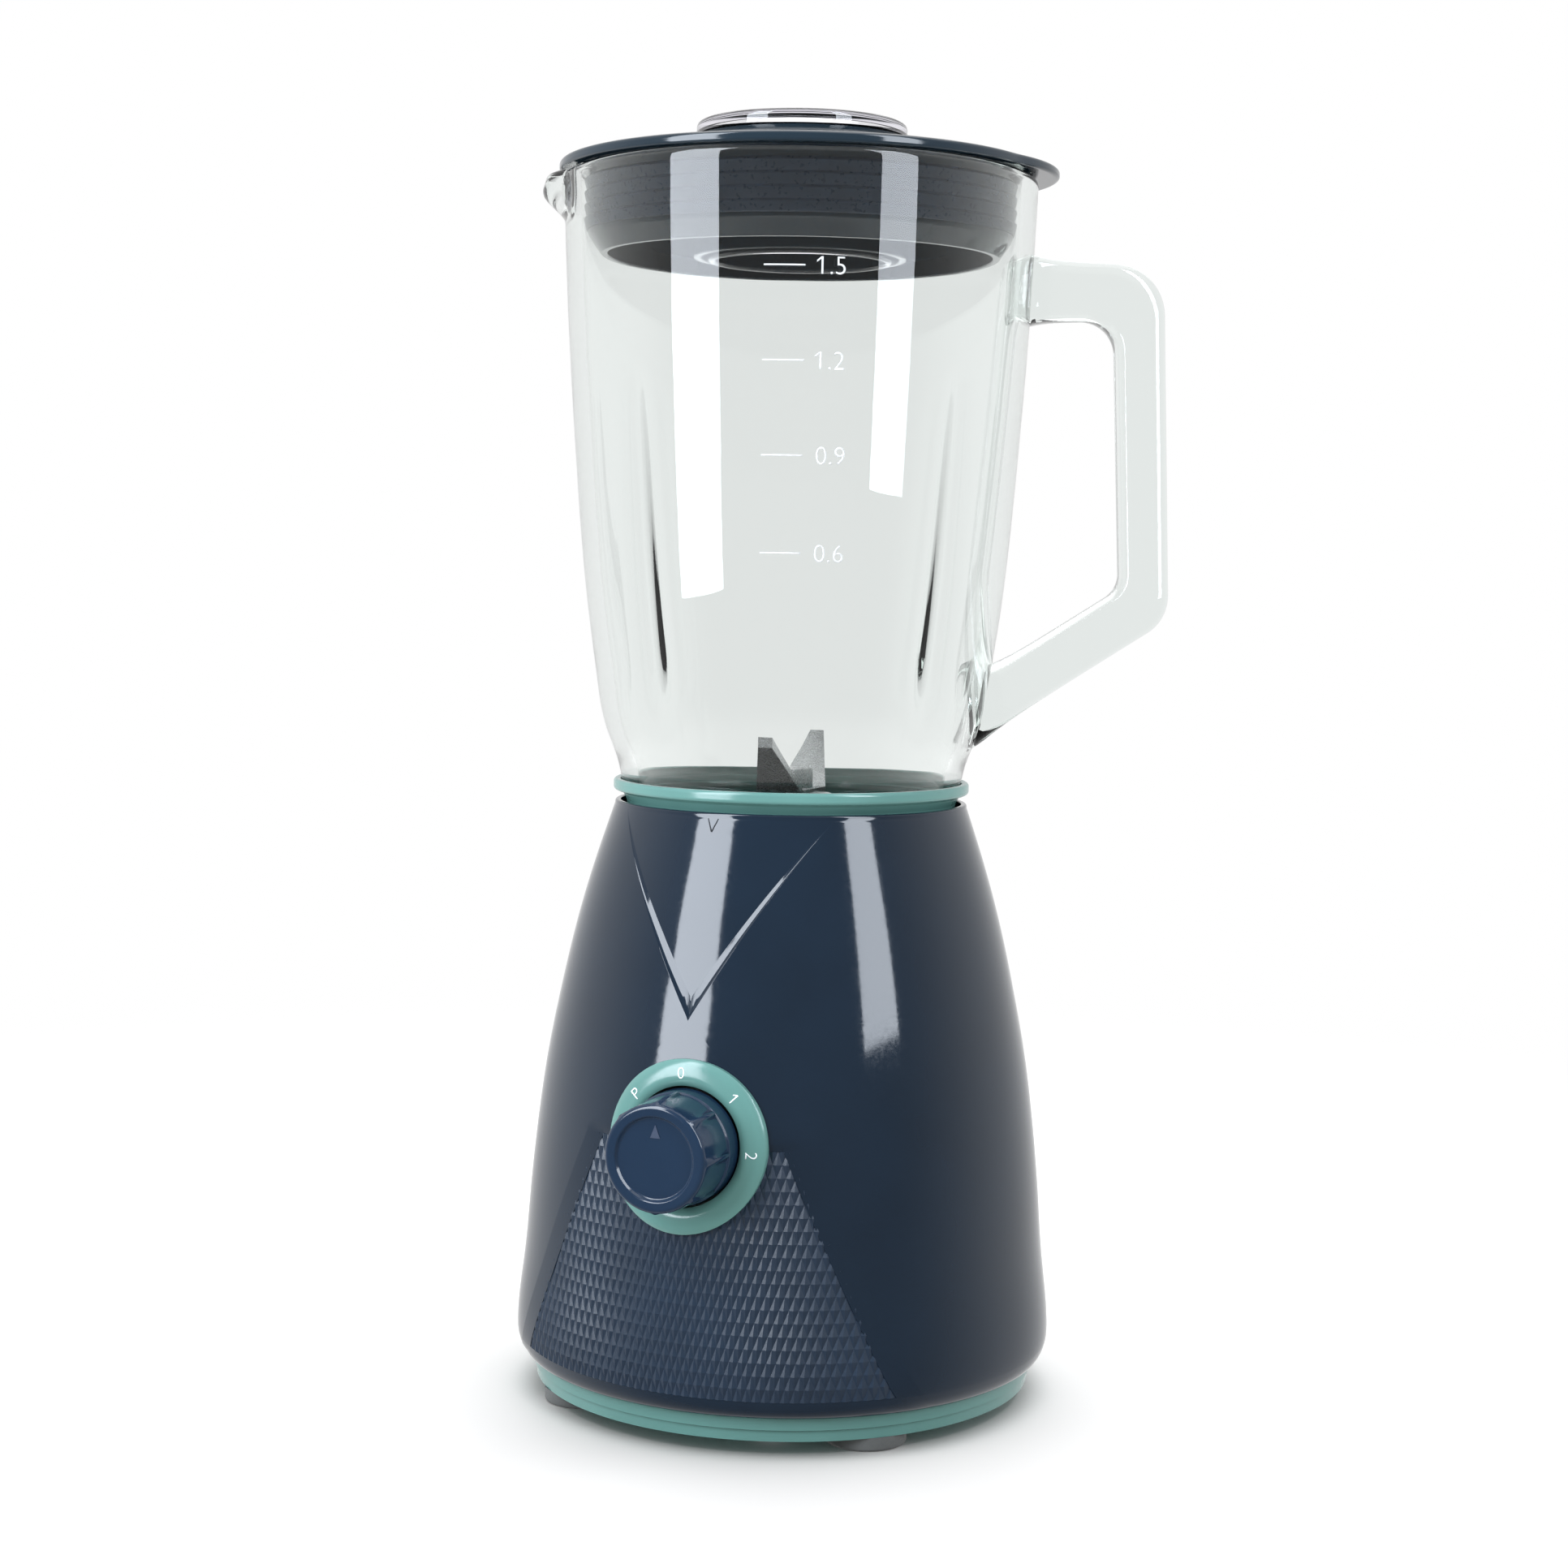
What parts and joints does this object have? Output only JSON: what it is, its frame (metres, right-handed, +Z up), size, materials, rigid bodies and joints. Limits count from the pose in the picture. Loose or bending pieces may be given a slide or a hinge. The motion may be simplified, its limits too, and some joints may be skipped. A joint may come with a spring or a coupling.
{
  "type": "countertop blender",
  "caption": "Countertop blender with a flared motor base, front dial, screw collar and a tall glass jug with handle, lid and clear filler cap.",
  "frame": {"origin": "on the drive axis, in the plane of the table that the feet stand on", "axes": "+Z up along the drive axis, -Y towards the control knob, +X to the right seen from the knob; the handle points along +X turned 22.24 degrees about +Z"},
  "size_m": [0.1849, 0.1755, 0.3768],
  "materials": {
    "navy_plastic": "moulded gloss, dark blue",
    "teal_plastic": "moulded gloss, pale green",
    "clear_glass": "pressed clear glass",
    "clear_plastic": "clear moulded",
    "foot_rubber": "matt",
    "seal_silicone": "matt",
    "blade_steel": "ground",
    "fastener_steel": "zinc plated",
    "shaft_steel": "ground",
    "lamination_steel": "stacked sheet",
    "copper_wire": "lacquered",
    "bronze": "sintered",
    "cast_alloy": "as cast",
    "black_plastic": "matt moulded",
    "carbon": "matt"
  },
  "bodies": {
    "base": {"motor_housing": "navy_plastic", "bottom_cover": "teal_plastic", "rubber_feet": "foot_rubber", "cover_screws": "fastener_steel", "dial_ring": "teal_plastic", "switch_body": "black_plastic", "cord_gland": "black_plastic", "motor_stator": "lamination_steel", "field_coils": "copper_wire", "upper_bracket": "cast_alloy", "lower_bracket": "cast_alloy", "upper_bearing": "bronze", "lower_bearing": "bronze", "brush_holders": "bronze", "carbon_brushes": "carbon", "brush_springs": "fastener_steel", "motor_dampers": "foot_rubber", "bracket_screws": "fastener_steel", "motor_bolts": "fastener_steel"},
    "knob": {"control_knob": "navy_plastic", "switch_spindle": "shaft_steel"},
    "rotor": {"motor_shaft": "shaft_steel", "armature_core": "lamination_steel", "armature_windings": "copper_wire", "commutator": "copper_wire", "cooling_fan": "black_plastic", "drive_coupling": "black_plastic"},
    "jug": {"glass_jug": "clear_glass", "jug_collar": "teal_plastic", "blade_carrier": "black_plastic", "jug_gasket": "seal_silicone", "blade_bearing": "bronze", "blade_seal": "seal_silicone"},
    "blades": {"blade_shaft": "shaft_steel", "lower_blade": "blade_steel", "upper_blade": "blade_steel", "blade_nut": "blade_steel", "blade_washer": "blade_steel", "driven_coupling": "black_plastic"},
    "lid": {"lid": "navy_plastic", "lid_seal": "seal_silicone"},
    "cap": {"filler_cap": "clear_plastic"}
  },
  "joints": [
    {"name": "knob_turn", "type": "hinge", "parent": "base", "child": "knob", "pos_m": [0, 0, 0.0856], "axis": [0, 1, 0], "range_deg": [-45, 90]},
    {"name": "motor_spin", "type": "hinge", "parent": "base", "child": "rotor", "pos_m": [0, 0, 0], "axis": [0, 0, 1], "continuous": true},
    {"name": "jug_lift", "type": "slide", "parent": "base", "child": "jug", "axis": [0, 0, 1], "range_m": [0, 0.08]},
    {"name": "blade_spin", "type": "hinge", "parent": "jug", "child": "blades", "pos_m": [0, 0, 0], "axis": [0, 0, 1], "continuous": true},
    {"name": "lid_lift", "type": "slide", "parent": "jug", "child": "lid", "axis": [0, 0, 1], "range_m": [0, 0.09]},
    {"name": "cap_lift", "type": "slide", "parent": "lid", "child": "cap", "axis": [0, 0, 1], "range_m": [0, 0.07]}
  ],
  "couplings": [
    {"joint": "blade_spin", "follows": "motor_spin", "ratio": 1}
  ]
}
